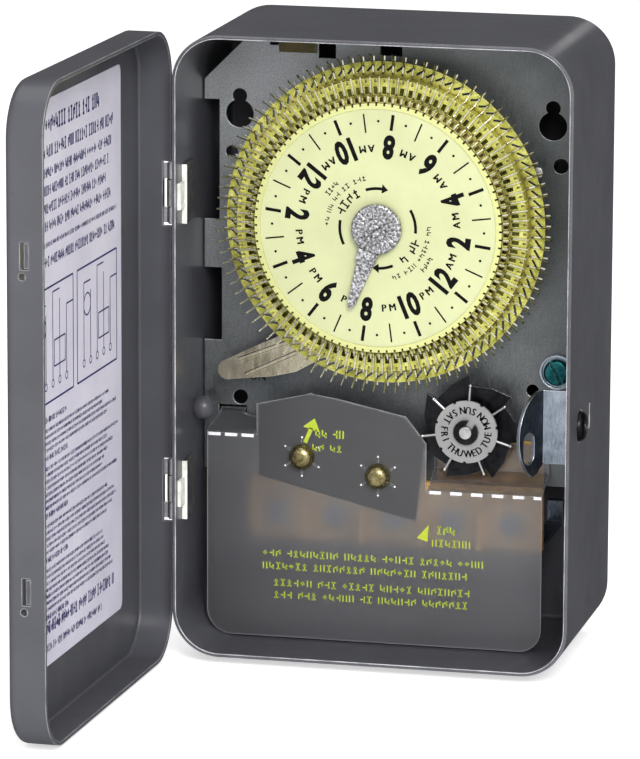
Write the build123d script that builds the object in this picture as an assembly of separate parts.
"""24-hour dial time switch with a day-skipping wheel, in a hinged sheet-metal wall case.

Millimetres. The origin is the centre of the case's back face, on the wall.
+X is right, +Z is up, and the front of the case faces -Y. The door stands open.
"""
import os
from math import cos, radians, sin

from build123d import *

os.makedirs("parts", exist_ok=True)

# ---- case and door -------------------------------------------------------------------
CASE_W, CASE_H, CASE_D = 127.0, 198.4, 72.0
SHEET = 1.2
CASE_R = 15.0
BACK_BEND = 2.4
RIM_ROUND = 0.5
RIM_Y = -CASE_D
WALL_IN = CASE_W / 2 - SHEET

DOOR_GAP = 0.3
DOOR_D = 12.0
DOOR_W = CASE_W + 2 * (DOOR_GAP + SHEET)
DOOR_H = CASE_H + 2 * (DOOR_GAP + SHEET)
DOOR_R = CASE_R + DOOR_GAP + SHEET
DOOR_BEND = 2.6
PANEL_IN = RIM_Y - DOOR_GAP
PANEL_OUT = PANEL_IN - SHEET
LIP_Y = PANEL_OUT + DOOR_D
DOOR_OPEN = 92.0

# ---- hinges --------------------------------------------------------------------------
HINGE_X = -DOOR_W / 2 - 1.0
HINGE_Y = LIP_Y - 0.4
HINGE_Z = (47.5, -47.5)
HINGE_LEN = 18.8
MID_KNUCKLE = 8.4
KNUCKLE_GAP = 0.35
PIN_R = 0.8
KNUCKLE_R = 1.6
LEAF_T = 1.0
LEAF_DEPTH = 10.0
SLOT_Z = 50.5

# ---- wall mounting -------------------------------------------------------------------
WALL_HOLE_R = 2.6
WALL_HOLE_X = 34.0
WALL_HOLE_Z = -64.0
KEYHOLE_R = 4.6
KEYHOLE_Z = 82.0
KEYHOLE_RISE = 8.0
KNOCKOUT_R = 11.0
BACK_KNOCKOUT_Z = -28.0

# ---- mechanism plate -----------------------------------------------------------------
PLATE_Y = -37.0
PLATE_T = 1.2
PLATE_BACK = PLATE_Y + PLATE_T
PLATE_X = 61.9
PLATE_TOP, PLATE_LOW = 95.0, -45.8
CHAMFER = 15.0
STANDOFFS = ((-44.0, 50.0), (42.0, 52.0), (-36.0, 7.5), (36.0, 10.0))

# ---- dial ----------------------------------------------------------------------------
DIAL_Z = 39.0
FACE_Y = -61.5
FACE_R = 37.6
DRUM_FRONT_R = 39.4
DRUM_MID_R = 46.4
DRUM_REAR_R = 51.0
DRUM_MID_Y = -56.4
DRUM_REAR_Y = -51.0
DRUM_T = 1.0
TRIPPERS = 96
TRIPPER_PHASE = 0.95
TRIPPER_T, TRIPPER_W = 0.56, 0.44
TIP_R, TIP_LEAN = 53.6, 3.2
TAIL_R, TAIL_END_R = 49.8, 52.4
RING_SLOT_IN, RING_SLOT_OUT = 41.5, 43.9
ARBOR_R = 3.0
RUN_FIT = 0.05
HAND_ANGLE = 18.0
HAND_LEN = 27.0

# ---- gears ---------------------------------------------------------------------------
MODULE = 0.6
DIAL_TEETH, PINION_TEETH = 96, 12
GEAR_Y, GEAR_T = -41.6, 1.4
PINION_ANGLE = 120.0

# ---- day-skipping wheel ----------------------------------------------------------------
DAYS = 7
SKIP_X, SKIP_Z = 26.6, -26.6
DAY_R = 10.0
DAY_Y = -51.2
STAR_R, STAR_ROOT = 17.4, 13.9
STAR_Y, STAR_T = -46.5, 1.2
STAR_PHASE = 39.0
KICK_R = 51.2
KICK_ANGLE = 20.0

# ---- trip lever and switch -------------------------------------------------------------
LEVER_X, LEVER_Z = -11.0, 5.3
LEVER_TIP = 48.0
LEVER_ANGLE = 202.6
LEVER_Y, LEVER_T = -44.95, 1.5
CAM_LEN, CAM_ANGLE = 14.0, 240.0
ROCKER_X, ROCKER_Z = 12.0, -10.0
CONTACT_X, CONTACT_GAP = -17.5, 0.25

# ---- wiring end ------------------------------------------------------------------------
SHEET_Y, SHEET_T = -48.6, 0.8
SHEET_LEFT, SHEET_RIGHT, SHEET_LOW = -58.0, 50.6, -97.3
FOLD_LEFT, FOLD_RIGHT = -31.6, -46.8
POSTS = ((-27.0, -38.0), (-2.3, -43.0))
POST_HEAD_R = 4.1
GROUND = (53.0, -8.6)
BOARD_X0, BOARD_X1 = -46.0, 49.0
BOARD_Z0, BOARD_Z1 = -66.5, -46.2
APRON_X, APRON_TOP, APRON_T = (14.5, 49.0), -31.6, 0.45
TERMINALS = 5

# ---- padlock hasp ------------------------------------------------------------------------
HASP_Z = -21.8
HASP_H = 23.3
HASP_Y = -58.5
HASP_X = 52.0
HASP_LEG_X = 59.5
HASP_AXIS_X = 61.7
HASP_SLOT_Y = -39.0
BUTTON_Y = -55.0
EAR_LEAN = 21.8
EAR_LEN = 13.9
PADLOCK_W, PADLOCK_H = 6.2, 10.2


# ---- helpers -----------------------------------------------------------------------------
def block(x0, x1, y0, y1, z0, z1):
    """A box between two corners."""
    centre = Pos((x0 + x1) / 2, (y0 + y1) / 2, (z0 + z1) / 2)
    return centre * Box(abs(x1 - x0), abs(y1 - y0), abs(z1 - z0))


def rod_y(radius, y0, y1, x=0.0, z=0.0):
    """A round bar along Y."""
    return Pos(x, (y0 + y1) / 2, z) * Rot(90, 0, 0) * Cylinder(radius, abs(y1 - y0))


def rod_x(radius, x0, x1, y=0.0, z=0.0):
    """A round bar along X."""
    return Pos((x0 + x1) / 2, y, z) * Rot(0, 90, 0) * Cylinder(radius, abs(x1 - x0))


def rod_z(radius, z0, z1, x=0.0, y=0.0):
    """A round bar along Z."""
    return Pos(x, y, (z0 + z1) / 2) * Cylinder(radius, abs(z1 - z0))


def ring_y(outer, inner, y0, y1, x=0.0, z=0.0):
    """A tube along Y."""
    margin = 1.0
    low, high = min(y0, y1), max(y0, y1)
    return rod_y(outer, low, high, x, z) - rod_y(inner, low - margin, high + margin, x, z)


def flat(sketch, y_back, thickness):
    """A sheet cut to an outline drawn in X and Z, its back face at y_back."""
    return extrude(Plane.XZ.offset(-y_back) * sketch, thickness)


def outline(*points):
    """A closed outline of straight edges."""
    return make_face(Polyline(*points, close=True))


def polar(radius, angle, x=0.0, z=0.0):
    """A point at a radius and an angle in degrees, counter-clockwise seen from the front."""
    return x + radius * cos(radians(angle)), z + radius * sin(radians(angle))


def turn_y(shape, angle, x=0.0, z=0.0):
    """The shape turned counter-clockwise, seen from the front, about an axis along Y."""
    return Pos(x, 0, z) * Rot(0, -angle, 0) * Pos(-x, 0, -z) * shape


def opened(shape):
    """A door piece drawn shut, swung to the open position."""
    return Pos(HINGE_X, HINGE_Y, 0) * Rot(0, 0, -DOOR_OPEN) * Pos(-HINGE_X, -HINGE_Y, 0) * shape


def edges_at_y(shape, y):
    """The edges of a shape that lie wholly in the plane at y."""
    tol = 1e-4
    return [e for e in shape.edges() if abs(e.bounding_box().min.Y - y) < tol
            and abs(e.bounding_box().max.Y - y) < tol]


def group(shapes):
    """Separate solids kept in one node."""
    return Compound([s for shape in shapes for s in shape.solids()])


def slotted_head(radius, height, y_face, x, z, slot_angle=30.0, slot_w=1.0):
    """A domed screw head, its seat at y_face, with a driver slot."""
    head = rod_y(radius, y_face - height, y_face, x, z)
    head = fillet(edges_at_y(head, y_face - height), height * 0.45)
    half = slot_w / 2
    slot = block(x - radius, x + radius, y_face - height - 1, y_face - height * 0.55, z - half, z + half)
    return head - turn_y(slot, slot_angle, x, z)


def gear(teeth, y_back, thickness, x, z, bore, phase=0.0):
    """A flat gear with straight-sided teeth and running backlash."""
    pitch_r = MODULE * teeth / 2
    step = 360 / teeth
    root_r = pitch_r - 1.2 * MODULE
    tip_r = pitch_r + 0.85 * MODULE
    points = []
    for tooth in range(teeth):
        middle = phase + tooth * step
        for radius, part in ((root_r, -0.30), (tip_r, -0.13), (tip_r, 0.13), (root_r, 0.30)):
            points.append(polar(radius, middle + part * step, x, z))
    blank = flat(outline(*points), y_back, thickness)
    return blank - rod_y(bore, y_back - thickness - 1, y_back + 1, x, z)


# ---- case --------------------------------------------------------------------------------
def knockout_ring():
    """The cut round a conduit knockout, which two small ties still hold."""
    cut = Cylinder(KNOCKOUT_R, 4) - Cylinder(KNOCKOUT_R - 0.5, 4)
    tie = Box(2 * KNOCKOUT_R + 2, 2.4, 5)
    return cut - tie


def case_shell():
    outer = flat(RectangleRounded(CASE_W, CASE_H, CASE_R), 0, CASE_D)
    outer = fillet(edges_at_y(outer, 0), BACK_BEND)
    outer = fillet(edges_at_y(outer, RIM_Y), RIM_ROUND)
    inner = flat(RectangleRounded(CASE_W - 2 * SHEET, CASE_H - 2 * SHEET, CASE_R - SHEET), -SHEET, CASE_D)
    inner = fillet(edges_at_y(inner, -SHEET), BACK_BEND - SHEET)
    shell = outer - inner
    for side in (-1, 1):
        shell -= rod_y(WALL_HOLE_R, -3, 1, side * WALL_HOLE_X, WALL_HOLE_Z)
        shell -= Pos(side * 28, -CASE_D / 2 + 4, -CASE_H / 2) * knockout_ring()
    shell -= rod_y(KEYHOLE_R, -3, 1, 0, KEYHOLE_Z)
    shell -= block(-WALL_HOLE_R, WALL_HOLE_R, -3, 1, KEYHOLE_Z, KEYHOLE_Z + KEYHOLE_RISE)
    shell -= rod_y(WALL_HOLE_R, -3, 1, 0, KEYHOLE_Z + KEYHOLE_RISE)
    shell -= Pos(0, 0, BACK_KNOCKOUT_Z) * Rot(90, 0, 0) * knockout_ring()
    for z in HINGE_Z:
        shell -= block(-CASE_W, -WALL_IN + 1, HINGE_Y - 0.9, HINGE_Y + 0.9, z - 4.6, z + 4.6)
    shell -= rod_x(5.2, WALL_IN - 1, CASE_W, BUTTON_Y, HASP_Z)
    shell -= block(WALL_IN - 1, CASE_W, HASP_SLOT_Y - 0.9, HASP_SLOT_Y + 0.9, HASP_Z - 3.8, HASP_Z + 3.8)
    return shell


def case_hinge_leaf(z):
    """The leaf inside the wall: its neck through the slot, its knuckle, and a tongue along the wall."""
    wall_x = -WALL_IN
    face_x = wall_x + LEAF_T
    front, tongue_len = HINGE_Y - 1.9, 5.7
    z0, z1 = z - HINGE_LEN / 2, z + HINGE_LEN / 2
    neck = MID_KNUCKLE / 2
    leaf = block(wall_x, face_x + 0.6, front, front + 1.2, z0, z1)
    leaf += block(wall_x, face_x, front, HINGE_Y + LEAF_DEPTH, z0, z1)
    leaf += block(wall_x, face_x, front - tongue_len, front, z - neck, z + neck)
    leaf += block(HINGE_X + 1.2, face_x, HINGE_Y - 0.5, HINGE_Y + 0.5, z - neck, z + neck)
    leaf += rod_z(KNUCKLE_R, z - neck, z + neck, HINGE_X, HINGE_Y)
    return leaf - rod_z(PIN_R, z0 - 1, z1 + 1, HINGE_X, HINGE_Y)


def hinge_pin(z):
    half = HINGE_LEN / 2 + 0.05
    head = 0.4
    pin = rod_z(PIN_R, z - half, z + half, HINGE_X, HINGE_Y)
    for end in (z - half - head, z + half):
        pin += rod_z(1.15, end, end + head, HINGE_X, HINGE_Y)
    return pin


# ---- door --------------------------------------------------------------------------------
def door_shell():
    outer = flat(RectangleRounded(DOOR_W, DOOR_H, DOOR_R), LIP_Y, DOOR_D)
    outer = fillet(edges_at_y(outer, PANEL_OUT), DOOR_BEND)
    hollow = RectangleRounded(DOOR_W - 2 * SHEET, DOOR_H - 2 * SHEET, DOOR_R - SHEET)
    inner = flat(hollow, LIP_Y + 5, DOOR_D + 5 - SHEET)
    inner = fillet(edges_at_y(inner, PANEL_IN), RIM_ROUND + DOOR_GAP)
    door = outer - inner
    for z in HINGE_Z:
        door -= block(-DOOR_W, -DOOR_W / 2 + 3, LIP_Y - 2.8, LIP_Y + 1, z - 10.2, z + 10.2)
    for z in (SLOT_Z, -SLOT_Z):
        slot_y = (LIP_Y + PANEL_OUT) / 2
        door -= block(DOOR_W / 2 - 3, DOOR_W, slot_y - 1.2, slot_y + 1.4, z - 4.1, z + 4.1)
        door -= rod_x(1.1, DOOR_W / 2 - 3, DOOR_W, slot_y - 0.6, z - 6.2)
    return opened(door)


def door_catches():
    """The bowed tongues lanced in the door's free edge, which grip the case wall."""
    tongues = []
    slot_y = (LIP_Y + PANEL_OUT) / 2
    rise = 1.0
    half = 4.1
    radius = (half * half + rise * rise) / (2 * rise)
    x_in = DOOR_W / 2 - SHEET
    for z in (SLOT_Z, -SLOT_Z):
        centre_x = x_in - 0.1 + radius
        bow = Cylinder(radius, 1.4) - Cylinder(radius - 0.7, 1.4)
        bow = Pos(centre_x, slot_y + 0.6, z) * Rot(90, 0, 0) * bow
        keep = block(x_in - 2, x_in + 0.85, slot_y - 1, slot_y + 3, z - half, z + half)
        tongues.append(bow & keep)
    return opened(group(tongues))


def door_hinge_leaf(z):
    """The leaf on the outside of the door's edge with its two end knuckles."""
    leaf_x = -DOOR_W / 2
    leaf = Part()
    for sign in (-1, 1):
        end = z + sign * HINGE_LEN / 2
        near = z + sign * (MID_KNUCKLE / 2 + KNUCKLE_GAP)
        leaf += block(leaf_x - LEAF_T, leaf_x, PANEL_OUT + 3, HINGE_Y - 0.6, near, end)
        leaf += rod_z(KNUCKLE_R, near, end, HINGE_X, HINGE_Y)
    leaf += block(leaf_x - LEAF_T, leaf_x, PANEL_OUT + 3, HINGE_Y - 2.4, z - HINGE_LEN / 2, z + HINGE_LEN / 2)
    return leaf - rod_z(PIN_R + RUN_FIT, z - HINGE_LEN, z + HINGE_LEN, HINGE_X, HINGE_Y)


def door_label():
    """The wiring and setting label stuck inside the door."""
    return opened(flat(Pos(2.5, 4.5) * RectangleRounded(95, 173, 2.5), PANEL_IN + 0.2, 0.2))


# ---- mechanism plate ---------------------------------------------------------------------
def plate_outline():
    """The plate's edge: cut corners, with two notches in the left side."""
    corner = PLATE_X - CHAMFER
    shoulder = PLATE_TOP - CHAMFER
    upper_notch, lower_notch = -57.0, -56.2
    return outline(
        (-PLATE_X, PLATE_LOW), (PLATE_X, PLATE_LOW), (PLATE_X, shoulder), (corner, PLATE_TOP),
        (-corner, PLATE_TOP), (-PLATE_X, shoulder), (-PLATE_X, 73.6), (upper_notch, 73.6),
        (upper_notch, 35.1),
        (-PLATE_X, 35.1), (-PLATE_X, 19.5), (lower_notch, 19.5), (lower_notch, -4.0), (-PLATE_X, -4.0),
    )


def mechanism_plate():
    plate = flat(plate_outline(), PLATE_BACK, PLATE_T)
    front = PLATE_Y - 1
    key_x, key_z, key_rise = 50.4, 69.3, 5.7
    for x in (-key_x, key_x):
        plate -= rod_y(4.5, front, 0, x, key_z)
        plate -= rod_y(2.35, front, 0, x, key_z + key_rise)
        plate -= block(x - 1.6, x + 1.6, front, 0, key_z, key_z + key_rise)
    for x, z, radius in ((-52.9, 57.0, 2.0), (53.1, 56.8, 2.4), (-50.0, -22.2, 2.4), (44.9, -15.2, 2.0)):
        plate -= rod_y(radius, front, 0, x, z)
    for x0, x1, z in ((-40.6, -37.8, 91.6), (-24.8, -19.3, 88.0), (-5.0, 2.0, 89.5)):
        plate -= block(x0, x1, front, 0, z, PLATE_TOP + 1)
    plate -= block(-57.1, -47.9, front, 0, -27.4, -24.9)
    pinion_x, pinion_z = pinion_centre()
    bores = [(GROUND, 1.7), ((pinion_x, pinion_z), 4.0), ((LEVER_X, LEVER_Z), 3.5), ((0, DIAL_Z), 2.0),
             ((SKIP_X, SKIP_Z), 2.0)]
    for (x, z), radius in bores + [(place, 1.5) for place in STANDOFFS]:
        plate -= rod_y(radius, front, 0, x, z)
    return plate


def standoffs():
    """Hexagonal posts from the back of the case to the plate."""
    posts = []
    for x, z in STANDOFFS:
        post = flat(Pos(x, z) * RegularPolygon(3.6, 6), -SHEET, -SHEET - PLATE_BACK)
        posts.append(post - rod_y(1.5, PLATE_BACK - 1, PLATE_BACK + 8, x, z))
    return group(posts)


def plate_screws():
    screws = []
    for number, (x, z) in enumerate(STANDOFFS):
        screw = slotted_head(2.7, 1.6, PLATE_Y, x, z, 25 + 40 * number, 0.8)
        screws.append(screw + rod_y(1.45, PLATE_Y, PLATE_Y + 7, x, z))
    return group(screws)


def top_clip():
    """The spring clip at the head of the plate that locks the mechanism into the case."""
    x0, x1 = -37.4, -25.4
    middle = (x0 + x1) / 2
    clip = block(x0, x1, PLATE_Y - 1.2, PLATE_Y, 89.6, 94.2)
    clip += block(x0, x1, PLATE_Y - 6.0, PLATE_Y, 94.2, PLATE_TOP)
    return clip + block(middle - 1.5, middle + 1.5, PLATE_Y - 6.0, PLATE_Y - 5.2, PLATE_TOP, 97.6)


def dome_stud():
    """The round stud on the left wall, level with the foot of the plate."""
    radius, centre = 3.8, (-59.4, -48.0, -23.9)
    return (Pos(*centre) * Sphere(radius)) & block(-WALL_IN, 0, -CASE_D, 0, -CASE_H / 2, 0)


def ground_cup():
    """The dished washer under the grounding screw."""
    cup = ring_y(5.5, 1.9, PLATE_Y - 0.9, PLATE_Y, *GROUND)
    return cup + ring_y(5.5, 4.9, PLATE_Y - 2.2, PLATE_Y - 0.9, *GROUND)


def ground_screw():
    screw = slotted_head(4.2, 2.6, PLATE_Y - 0.9, *GROUND, 118, 1.1)
    return screw + rod_y(1.6, PLATE_Y - 0.9, PLATE_Y + 6, *GROUND)


# ---- clock motor -------------------------------------------------------------------------
def pinion_centre():
    distance = MODULE * (DIAL_TEETH + PINION_TEETH) / 2
    return polar(distance, PINION_ANGLE, 0, DIAL_Z)


def gearbox():
    x, z = pinion_centre()
    body = flat(Pos(x, z - 6) * RectangleRounded(38, 40, 6), PLATE_BACK + 8, 8)
    return body - rod_y(1.5 + RUN_FIT, PLATE_BACK - 1, PLATE_BACK + 6, x, z)


def motor_can():
    x, z = pinion_centre()
    can = rod_y(22, PLATE_BACK + 8, PLATE_BACK + 27, x, z - 6)
    can = fillet(edges_at_y(can, PLATE_BACK + 27), 2.5)
    for angle in (40, 220):
        ear_x, ear_z = polar(25, angle, x, z - 6)
        can += rod_y(4, PLATE_BACK + 8, PLATE_BACK + 9.2, ear_x, ear_z)
    return can


def drive_pinion():
    x, z = pinion_centre()
    shaft = rod_y(1.5, GEAR_Y - GEAR_T - 0.8, PLATE_BACK + 5, x, z)
    phase = 180 + PINION_ANGLE + 180 / PINION_TEETH
    return gear(PINION_TEETH, GEAR_Y + 0.4, GEAR_T + 0.8, x, z, 1.4, phase) + shaft


# ---- dial --------------------------------------------------------------------------------
def dial_arbor():
    """The fixed post that the dial turns on."""
    post = rod_y(ARBOR_R, FACE_Y - 1.0, PLATE_Y, 0, DIAL_Z)
    post += rod_y(6.5, PLATE_Y - 1.2, PLATE_Y, 0, DIAL_Z)
    return post + rod_y(1.95, PLATE_Y, PLATE_BACK + 1.5, 0, DIAL_Z)


def dial_hub():
    hub = ring_y(6.2, ARBOR_R + RUN_FIT, DRUM_REAR_Y + DRUM_T, GEAR_Y, 0, DIAL_Z)
    return hub + ring_y(9.5, ARBOR_R + RUN_FIT, DRUM_REAR_Y + DRUM_T, DRUM_REAR_Y + DRUM_T + 1.2, 0, DIAL_Z)


def slots(radius_in, radius_out, y0, y1, width, offset=0.5, skew=0.0):
    """A ring of narrow cutters, one for each tripper.

    The offset is in tripper spacings, and the skew turns each cutter about its own middle."""
    middle = (radius_in + radius_out) / 2
    cutters = []
    for number in range(TRIPPERS):
        angle = TRIPPER_PHASE + (number + offset) * 360 / TRIPPERS
        cutter = Pos(0, (y0 + y1) / 2, 0) * Rot(0, skew, 0) * Box(radius_out - radius_in, abs(y1 - y0), width)
        cutters.append(turn_y(Pos(middle, 0, DIAL_Z) * cutter, angle, 0, DIAL_Z))
    return cutters


def dial_face():
    face = rod_y(FACE_R, FACE_Y, FACE_Y + 0.5, 0, DIAL_Z)
    return face - rod_y(ARBOR_R + 0.4, FACE_Y - 1, FACE_Y + 2, 0, DIAL_Z)


def drum_front():
    """The front plate of the drum: a slotted rim, with a recess that holds the face."""
    plate = ring_y(DRUM_FRONT_R, ARBOR_R + 0.4, FACE_Y - 0.3, FACE_Y + 1.3, 0, DIAL_Z)
    plate -= rod_y(FACE_R, FACE_Y - 1, FACE_Y + 0.5, 0, DIAL_Z)
    skirt = ring_y(DRUM_FRONT_R + 1.6, DRUM_FRONT_R - 1.2, FACE_Y + 1.3, DRUM_MID_Y, 0, DIAL_Z)
    front = FACE_Y - 1
    drum = (plate + skirt) - slots(DRUM_FRONT_R - 0.8, DRUM_FRONT_R + 0.1, front, FACE_Y + 2, 0.6, offset=0)
    return drum - slots(DRUM_FRONT_R + 0.2, DRUM_FRONT_R + 3, front, DRUM_MID_Y - 0.6, 1.1)


def drum_ring():
    """The stepped middle ring of the drum."""
    ring = ring_y(DRUM_MID_R, DRUM_FRONT_R - 1.2, DRUM_MID_Y, DRUM_MID_Y + DRUM_T, 0, DIAL_Z)
    wall = ring_y(DRUM_MID_R, DRUM_MID_R - 1.6, DRUM_MID_Y + DRUM_T, DRUM_REAR_Y, 0, DIAL_Z)
    drum = (ring + wall) - slots(DRUM_MID_R - 1.3, DRUM_MID_R + 1, DRUM_MID_Y - 1, DRUM_MID_Y + 0.7, 0.7)
    return drum - slots(RING_SLOT_IN, RING_SLOT_OUT, DRUM_MID_Y - 1, DRUM_MID_Y + DRUM_T + 1, 1.3)


def drum_rear():
    """The large rear disc of the drum: a slanted slot and a notch pass each tripper's tail."""
    disc = ring_y(DRUM_REAR_R, ARBOR_R + 0.4, DRUM_REAR_Y, DRUM_REAR_Y + DRUM_T, 0, DIAL_Z)
    y0, y1 = DRUM_REAR_Y - 1, DRUM_REAR_Y + 2
    disc -= slots(DRUM_REAR_R - 3.5, DRUM_REAR_R - 0.7, y0, y1, 0.75, offset=0.34, skew=49)
    return disc - slots(TAIL_R - 0.5, TAIL_R + 0.5, y0, y1, 0.8, offset=0)


def tripper():
    """One captive tripper: a bent wire strip over the drum's steps, its tip and tail proud of the rim."""
    lift = TRIPPER_T / 2 + 0.07
    skirt_r = DRUM_FRONT_R + 1.6
    over = (
        (DRUM_FRONT_R + lift + 0.05, FACE_Y + 0.3),
        (skirt_r + lift, FACE_Y + 0.6),
        (skirt_r + lift, DRUM_MID_Y - 1.0),
        (skirt_r + 1.0, DRUM_MID_Y - lift),
        (DRUM_MID_R + lift, DRUM_MID_Y - lift),
        (DRUM_MID_R + lift, DRUM_REAR_Y - 1.1),
        (DRUM_MID_R + 1.2, DRUM_REAR_Y - lift),
        (TAIL_R, DRUM_REAR_Y - lift),
        (TIP_R, DRUM_REAR_Y - lift - TIP_LEAN),
    )
    tail = (
        (TAIL_R, DRUM_REAR_Y - lift),
        (TAIL_R, DRUM_REAR_Y + 1.9),
        (TAIL_END_R, DRUM_REAR_Y + 2.1),
    )
    strips = [extrude(trace(Polyline(*path), TRIPPER_T), TRIPPER_W / 2, both=True) for path in (over, tail)]
    return Pos(0, 0, DIAL_Z) * (strips[0] + strips[1])


def trippers():
    one = tripper()
    step = 360 / TRIPPERS
    return group([turn_y(one, TRIPPER_PHASE + number * step, 0, DIAL_Z) for number in range(TRIPPERS)])


def kick_pin():
    """The finger riveted behind the drum and its pin, which moves the day wheel once a turn."""
    finger_y, finger_t = DRUM_REAR_Y + DRUM_T + 1.7, 1.2
    rivet_r, root, half = 2.2, 43.0, 1.7
    pin_r, pin_margin = 1.1, 0.3
    end_x = KICK_R + pin_r + pin_margin - half
    finger = block(root, end_x, finger_y, finger_y + finger_t, DIAL_Z - half, DIAL_Z + half)
    finger += rod_y(half, finger_y, finger_y + finger_t, end_x, DIAL_Z)
    finger += rod_y(rivet_r, DRUM_REAR_Y + DRUM_T, finger_y + finger_t, root, DIAL_Z)
    finger += rod_y(pin_r, finger_y, STAR_Y + 0.6, KICK_R, DIAL_Z)
    return turn_y(finger, KICK_ANGLE, 0, DIAL_Z)


def time_hand():
    """The fixed cast pointer that the dial is read against."""
    y_back = FACE_Y - 1.0
    boss = rod_y(8.0, y_back - 2.0, y_back, 0, DIAL_Z)
    boss = fillet(edges_at_y(boss, y_back - 2.0), 0.9)
    boss += rod_y(3.4, y_back - 3.4, y_back - 2.0, 0, DIAL_Z)
    arm_angle = 270 - HAND_ANGLE
    root_half, tip_half = 2.7, 1.2
    arm = outline((4, DIAL_Z - root_half), (10.5, DIAL_Z - root_half), (HAND_LEN - 1.6, DIAL_Z - tip_half),
                  (HAND_LEN, DIAL_Z), (HAND_LEN - 1.6, DIAL_Z + tip_half), (10.5, DIAL_Z + root_half),
                  (4, DIAL_Z + root_half))
    boss += turn_y(flat(arm, y_back, 1.5), arm_angle, 0, DIAL_Z)
    collar = outline((7.2, DIAL_Z - 3.2), (10.6, DIAL_Z - 3.2), (10.6, DIAL_Z + 3.2), (7.2, DIAL_Z + 3.2))
    boss += turn_y(flat(collar, y_back, 2.4), arm_angle, 0, DIAL_Z)
    for number in range(24):
        groove = rod_x(0.32, 4.2, 7.4, y_back - 2.1, DIAL_Z)
        boss -= turn_y(groove, number * 15, 0, DIAL_Z)
    return boss - rod_y(1.6, y_back - 5, y_back + 1, 0, DIAL_Z)


def hand_screw():
    y_seat = FACE_Y - 4.4
    screw = slotted_head(2.2, 1.1, y_seat, 0, DIAL_Z, 35, 0.6)
    return screw + rod_y(1.6, y_seat, FACE_Y - 1.0, 0, DIAL_Z)


# ---- day-skipping wheel ------------------------------------------------------------------
def skip_post():
    """The fixed post of the day wheel."""
    post = rod_y(1.95, DAY_Y - 1.8, PLATE_BACK + 1.5, SKIP_X, SKIP_Z)
    return post + rod_y(4.2, PLATE_Y - 1.0, PLATE_Y, SKIP_X, SKIP_Z)


def star_wheel():
    """Seven saw teeth that the dial's pin engages, one for each day."""
    step = 360 / DAYS
    points = []
    for tooth in range(DAYS):
        tip = STAR_PHASE + tooth * step
        points.append(polar(STAR_ROOT, tip - 3, SKIP_X, SKIP_Z))
        points.append(polar(STAR_R, tip, SKIP_X, SKIP_Z))
        points.append(polar(STAR_ROOT + 1.2, tip + 0.45 * step, SKIP_X, SKIP_Z))
    star = flat(outline(*points), STAR_Y + STAR_T, STAR_T)
    hub = rod_y(4.6, DAY_Y + 1.0, PLATE_Y - 1.4, SKIP_X, SKIP_Z)
    return star + hub - rod_y(2.0, DAY_Y - 2, PLATE_Y, SKIP_X, SKIP_Z)


def day_disc():
    """The printed day disc at the front of the wheel."""
    disc = ring_y(DAY_R, 2.0, DAY_Y, DAY_Y + 1.0, SKIP_X, SKIP_Z)
    for day in range(DAYS):
        disc -= rod_y(0.55, DAY_Y - 1, DAY_Y + 2, *polar(DAY_R, 10 + day * 360 / DAYS, SKIP_X, SKIP_Z))
    return disc


def day_trippers():
    """The wire spokes behind the day disc, one for each day."""
    spokes = []
    for day in range(DAYS):
        spoke = rod_x(0.45, 4.7, 14.6, DAY_Y + 1.45, 0)
        spoke += Pos(14.6, DAY_Y + 1.45, 0) * Sphere(0.62)
        spokes.append(turn_y(Pos(SKIP_X, 0, SKIP_Z) * spoke, 35 + day * 360 / DAYS, SKIP_X, SKIP_Z))
    return group(spokes)


def retaining_ring():
    """The snap ring that keeps the day wheel on its post."""
    ring = ring_y(4.0, 1.95, DAY_Y - 0.9, DAY_Y - 0.3, SKIP_X, SKIP_Z)
    gap = block(SKIP_X, SKIP_X + 6, DAY_Y - 2, DAY_Y, SKIP_Z - 1.1, SKIP_Z + 1.1)
    return ring - turn_y(gap, 60, SKIP_X, SKIP_Z)


# ---- trip lever and switch ---------------------------------------------------------------
def trip_lever():
    """The long hand lever under the dial: a wedge that narrows to a round tip, with two ribs."""
    root_r, tip_r, rib_r = 5.2, 3.2, 0.8
    tip = LEVER_TIP - tip_r
    lower = ((0, -root_r), (31.5, -4.1), (tip, -tip_r))
    upper = ((tip, tip_r), (32.0, 6.9), (24.0, 8.2), (0, root_r))
    blade = outline(*lower, *upper)
    arm = flat(Pos(LEVER_X, LEVER_Z) * blade, LEVER_Y + LEVER_T, LEVER_T)
    arm += rod_y(tip_r, LEVER_Y, LEVER_Y + LEVER_T, LEVER_X + tip, LEVER_Z)
    arm += rod_y(root_r, LEVER_Y, LEVER_Y + LEVER_T, LEVER_X, LEVER_Z)
    for rise, lean in ((-1.2, 1.0), (1.3, -3.0)):
        rib = rod_x(rib_r, LEVER_X + 12, LEVER_X + LEVER_TIP - 8, LEVER_Y + 0.25, LEVER_Z + rise)
        arm += turn_y(rib, -lean, LEVER_X, LEVER_Z)
    return turn_y(arm, LEVER_ANGLE, LEVER_X, LEVER_Z)


def lever_shaft():
    """The stub shaft of the lever, with the cam that works the switch behind the plate."""
    shaft = rod_y(3.2, LEVER_Y + LEVER_T, PLATE_BACK + 1.0, LEVER_X, LEVER_Z)
    cam_end = LEVER_X + CAM_LEN
    arm = outline((LEVER_X, LEVER_Z - 3.2), (cam_end, LEVER_Z - 1.6), (cam_end, LEVER_Z + 1.6),
                  (LEVER_X, LEVER_Z + 3.2))
    cam = turn_y(flat(arm, PLATE_BACK + 4.0, 3.0), CAM_ANGLE, LEVER_X, LEVER_Z)
    return shaft + cam + rod_y(3.2, PLATE_BACK + 1.0, PLATE_BACK + 4.0, LEVER_X, LEVER_Z)


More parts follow.
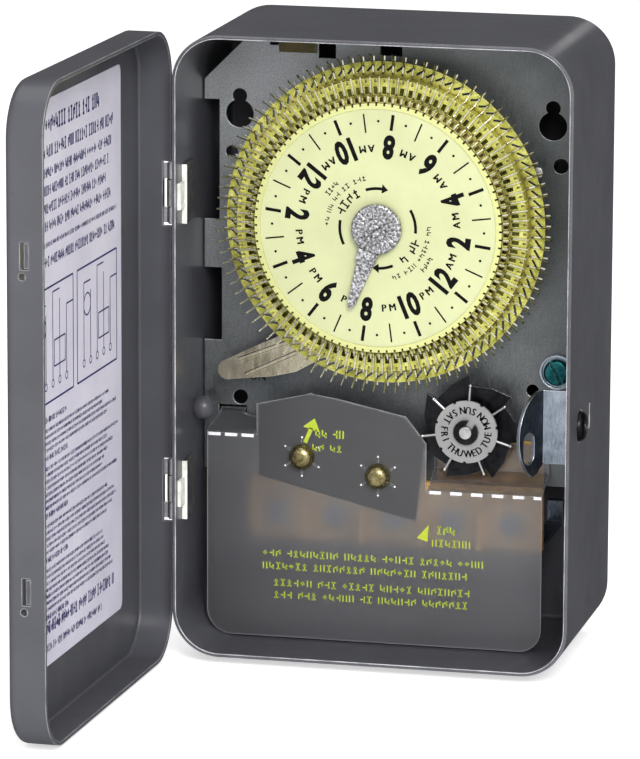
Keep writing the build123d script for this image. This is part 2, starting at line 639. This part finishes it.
def contact_block():
    """The moulded base of the switch behind the plate."""
    base = block(-34, 30, PLATE_BACK + 9, PLATE_BACK + 15, -34, 0)
    base += rod_y(2.0, PLATE_BACK + 1.6, PLATE_BACK + 9, ROCKER_X, ROCKER_Z)
    for x in (-30, 16):
        base += block(x - 3.5, x + 3.5, PLATE_BACK, PLATE_BACK + 9, -34, -26)
    return base


def contact_rocker():
    """The insulated rocker that the lever's cam tilts."""
    bar = block(-21, ROCKER_X + 8, PLATE_BACK + 2.0, PLATE_BACK + 6.0, ROCKER_Z - 3.0, ROCKER_Z + 1.6)
    return bar - rod_y(2.0 + RUN_FIT, PLATE_BACK, PLATE_BACK + 8, ROCKER_X, ROCKER_Z)


def moving_contacts():
    """The blade under the rocker's end and its contact button."""
    under = ROCKER_Z - 3.0
    blade = block(CONTACT_X - 3, CONTACT_X + 8, PLATE_BACK + 3.0, PLATE_BACK + 5.0, under - 0.5, under)
    return group([blade, rod_z(1.7, under - 1.7, under - 0.5, CONTACT_X, PLATE_BACK + 4.0)])


def fixed_contacts():
    """The fixed contact button and its bracket on the switch base."""
    top = ROCKER_Z - 4.7 - CONTACT_GAP
    half = 2.5
    y0, y1 = PLATE_BACK + 2.5, PLATE_BACK + 9.0
    bracket = block(CONTACT_X - half, CONTACT_X + half, y0, y1, top - 2.4, top - 1.2)
    return group([bracket, rod_z(1.7, top - 1.2, top, CONTACT_X, PLATE_BACK + 4.0)])


# ---- wiring end --------------------------------------------------------------------------
def support_plate():
    """The five-sided metal plate that carries the insulator's two posts."""
    shape = outline((-41.2, -22.3), (-24.5, -17.5), (-15.5, -19.5), (6.0, -24.0), (12.4, -32.0), (9.8, -57.0),
                    (-41.2, -45.0))
    return flat(shape, SHEET_Y + SHEET_T + 1.0, 1.0)


def support_legs():
    """The spacers between the mechanism plate and the five-sided plate."""
    return group([rod_y(2.4, SHEET_Y + SHEET_T + 1.0, PLATE_Y, x, z) for x, z in POSTS])


def sloped_sheet(points, start, end):
    """A flap of the insulator: its outline is drawn in X and in the distance from start towards end."""
    (y0, z0), (y1, z1) = start, end
    length = ((y1 - y0) ** 2 + (z1 - z0) ** 2) ** 0.5
    rise, run = (z1 - z0) / length, (y1 - y0) / length
    plane = Plane(origin=(0, y0, z0), x_dir=(1, 0, 0), z_dir=(0, -rise, run))
    return extrude(plane * outline(*points), -SHEET_T)


def insulator_front():
    """The insulator's flat front, notched round the day wheel."""
    left_r, right_r = 8.0, 7.0
    raised = ((13.2, FOLD_RIGHT), (13.2, -31.8), (6.6, -23.4), (-15.5, -18.8), (-24.5, -17.6), (-41.8, -21.6),
              (-41.8, FOLD_LEFT))
    lower = ((SHEET_LEFT, SHEET_LOW + left_r), (SHEET_LEFT + left_r, SHEET_LOW),
             (SHEET_RIGHT - right_r, SHEET_LOW), (SHEET_RIGHT, SHEET_LOW + right_r))
    edge = outline(*lower, (SHEET_RIGHT, FOLD_RIGHT), *raised, (SHEET_LEFT, FOLD_LEFT))
    sheet = flat(edge, SHEET_Y + SHEET_T, SHEET_T)
    sheet += rod_y(left_r, SHEET_Y, SHEET_Y + SHEET_T, SHEET_LEFT + left_r, SHEET_LOW + left_r)
    sheet += rod_y(right_r, SHEET_Y, SHEET_Y + SHEET_T, SHEET_RIGHT - right_r, SHEET_LOW + right_r)
    for x, z in POSTS:
        sheet -= rod_y(1.9, SHEET_Y - 1, SHEET_Y + 2, x, z)
        for number in range(3):
            cut = block(x - 6.4, x + 6.4, SHEET_Y - 1, SHEET_Y + 2, z - 0.2, z + 0.2)
            sheet -= turn_y(cut, 30 + 60 * number, x, z)
    return sheet


def insulator():
    """The clear folded sheet over the terminals: a front, and two flaps folded back to the plate."""
    tab_right, tab_left = -48.6, -56.4
    left_flap = sloped_sheet(((SHEET_LEFT, 0), (-42.6, 0), (-42.6, 9.0), (tab_right, 11.0), (tab_right, 14.0),
                              (tab_left, 14.0), (tab_left, 10.0), (SHEET_LEFT, 4.0)),
                             (SHEET_Y, FOLD_LEFT), (PLATE_BACK, -25.9))
    upright_y, upright_low, upright_top = PLATE_Y - 1.3, -41.0, -32.6
    run = 11.9
    right_flap = sloped_sheet(((13.8, 0), (SHEET_RIGHT, 0), (SHEET_RIGHT, run), (13.8, run)),
                              (SHEET_Y, FOLD_RIGHT), (upright_y + SHEET_T, upright_low))
    upright = block(13.8, SHEET_RIGHT, upright_y, upright_y + SHEET_T, upright_low - 1.0, upright_top)
    return insulator_front() + left_flap + right_flap + upright


def insulator_posts():
    """The two round-headed posts that hold the insulator."""
    height = 3.6
    posts = []
    for x, z in POSTS:
        head = rod_y(POST_HEAD_R, SHEET_Y - height, SHEET_Y, x, z)
        head = fillet(edges_at_y(head, SHEET_Y - height), height - 0.5)
        posts.append(head + rod_y(1.85, SHEET_Y, SHEET_Y + SHEET_T, x, z))
    return group(posts)


def terminal_centres():
    pitch = (BOARD_X1 - BOARD_X0) / TERMINALS
    return [BOARD_X0 + pitch * (number + 0.5) for number in range(TERMINALS)]


def terminal_board():
    """The phenolic strip that carries the terminals, with a thin apron up the front of the plate."""
    face_y = PLATE_Y - 3.0
    barrier_half, barrier_rise = 0.8, 5.0
    board = block(BOARD_X0, BOARD_X1, face_y, PLATE_Y, BOARD_Z0, BOARD_Z1)
    board += block(*APRON_X, PLATE_Y - APRON_T, PLATE_Y, BOARD_Z1 - 1.0, APRON_TOP)
    pitch = (BOARD_X1 - BOARD_X0) / TERMINALS
    for number in range(1, TERMINALS):
        x = BOARD_X0 + pitch * number
        board += block(x - barrier_half, x + barrier_half, face_y - barrier_rise, face_y, BOARD_Z0, -48.5)
    return board


def terminal_screws():
    heads = [slotted_head(4.0, 2.6, PLATE_Y - 4.0, x, -58.0, 15 + x, 1.1) for x in terminal_centres()]
    return group(heads)


def terminal_plates():
    """The bright terminal plates under the screws."""
    return group([block(x - 6, x + 6, PLATE_Y - 4.0, PLATE_Y - 3.0, -65, -51) for x in terminal_centres()])


def board_brackets():
    """The two legs that hold the terminal board off the back of the case."""
    half, thick = 2.5, 1.2
    legs = []
    for x in (BOARD_X0 + 3, BOARD_X1 - 3):
        leg = block(x - half, x + half, PLATE_Y, -SHEET, BOARD_Z0, BOARD_Z0 + thick)
        legs.append(leg + block(x - half, x + half, -SHEET - thick, -SHEET, BOARD_Z0, BOARD_Z0 + 8))
    return group(legs)


# ---- padlock hasp ------------------------------------------------------------------------
def ear_outline():
    """The hasp's ear: a lopsided round, with the oblong hole for the padlock."""
    half = HASP_H / 2
    root, drop = 3.6, 3.4
    arc = ThreePointArc((root, half), (EAR_LEN, -1.6), (root + 2.4, -half - drop))
    rim = Polyline((root + 2.4, -half - drop), (root, -half - drop + 0.8), (0, -half), (0, half),
                   (root, half))
    return make_face(arc + rim) - Pos(8.4, -5.6) * SlotOverall(PADLOCK_H, PADLOCK_W, rotation=90)


def hasp():
    """The spring hasp: a wall leg hooked in a slot, a front strap and a padlock ear."""
    z0, z1 = HASP_Z - HASP_H / 2, HASP_Z + HASP_H / 2
    sheet = 1.0
    bead_r, bead_half = 0.6, 3.3
    leg = block(HASP_LEG_X, HASP_LEG_X + sheet, HASP_Y, HASP_SLOT_Y + 0.4, z0, z1)
    hook_y0, hook_y1 = HASP_SLOT_Y - 0.4, HASP_SLOT_Y + 0.4
    hook = block(HASP_LEG_X, HASP_AXIS_X, hook_y0, hook_y1, HASP_Z - bead_half, HASP_Z + bead_half)
    bead = rod_z(bead_r, HASP_Z - bead_half, HASP_Z + bead_half, HASP_AXIS_X, HASP_SLOT_Y)
    strap = block(HASP_X, HASP_LEG_X + sheet, HASP_Y - sheet / 2, HASP_Y + sheet / 2, z0, z1)
    blade = extrude(Plane.XZ * ear_outline(), sheet / 2, both=True)
    ear = Pos(HASP_X + 0.4, HASP_Y, HASP_Z) * Rot(0, 0, -90 - EAR_LEAN) * blade
    return leg + hook + bead + strap + ear


def hasp_button():
    """The domed and ridged button on the hasp, which stands through the case wall."""
    radius, outer_x, edge_round = 4.7, 65.6, 2.0
    button = rod_x(radius, HASP_LEG_X + 1.0, outer_x, BUTTON_Y, HASP_Z)
    outer_edge = [e for e in button.edges() if e.bounding_box().min.X > outer_x - 0.1]
    button = fillet(outer_edge, edge_round)
    for groove_r in (1.3, 2.4):
        groove = rod_x(groove_r, outer_x - 0.35, outer_x + 1, BUTTON_Y, HASP_Z)
        button -= groove - rod_x(groove_r - 0.5, outer_x - 1, outer_x + 2, BUTTON_Y, HASP_Z)
    return button


def write_all():
    """Every node and its solids."""
    nodes = {
        "case_shell": case_shell(),
        "case_hinge_leaves": group([case_hinge_leaf(z) for z in HINGE_Z]),
        "hinge_pins": group([hinge_pin(z) for z in HINGE_Z]),
        "door_shell": door_shell(),
        "door_catches": door_catches(),
        "door_hinge_leaves": opened(group([door_hinge_leaf(z) for z in HINGE_Z])),
        "door_label": door_label(),
        "mechanism_plate": mechanism_plate(),
        "standoffs": standoffs(),
        "plate_screws": plate_screws(),
        "top_clip": top_clip(),
        "dome_stud": dome_stud(),
        "ground_cup": ground_cup(),
        "ground_screw": ground_screw(),
        "gearbox": gearbox(),
        "motor_can": motor_can(),
        "drive_pinion": drive_pinion(),
        "dial_arbor": dial_arbor(),
        "dial_hub": dial_hub(),
        "dial_gear": gear(DIAL_TEETH, GEAR_Y, GEAR_T, 0, DIAL_Z, 6.2, PINION_ANGLE),
        "dial_face": dial_face(),
        "drum_front": drum_front(),
        "drum_ring": drum_ring(),
        "drum_rear": drum_rear(),
        "trippers": trippers(),
        "kick_pin": kick_pin(),
        "time_hand": time_hand(),
        "hand_screw": hand_screw(),
        "skip_post": skip_post(),
        "star_wheel": star_wheel(),
        "day_disc": day_disc(),
        "day_trippers": day_trippers(),
        "retaining_ring": retaining_ring(),
        "trip_lever": trip_lever(),
        "lever_shaft": lever_shaft(),
        "contact_block": contact_block(),
        "contact_rocker": contact_rocker(),
        "moving_contacts": moving_contacts(),
        "fixed_contacts": fixed_contacts(),
        "support_plate": support_plate(),
        "support_legs": support_legs(),
        "insulator": insulator(),
        "insulator_posts": insulator_posts(),
        "terminal_board": terminal_board(),
        "terminal_screws": terminal_screws(),
        "terminal_plates": terminal_plates(),
        "board_brackets": board_brackets(),
        "hasp": hasp(),
        "hasp_button": hasp_button(),
    }
    for node, shape in nodes.items():
        export_step(shape, f"parts/{node}.step")


write_all()
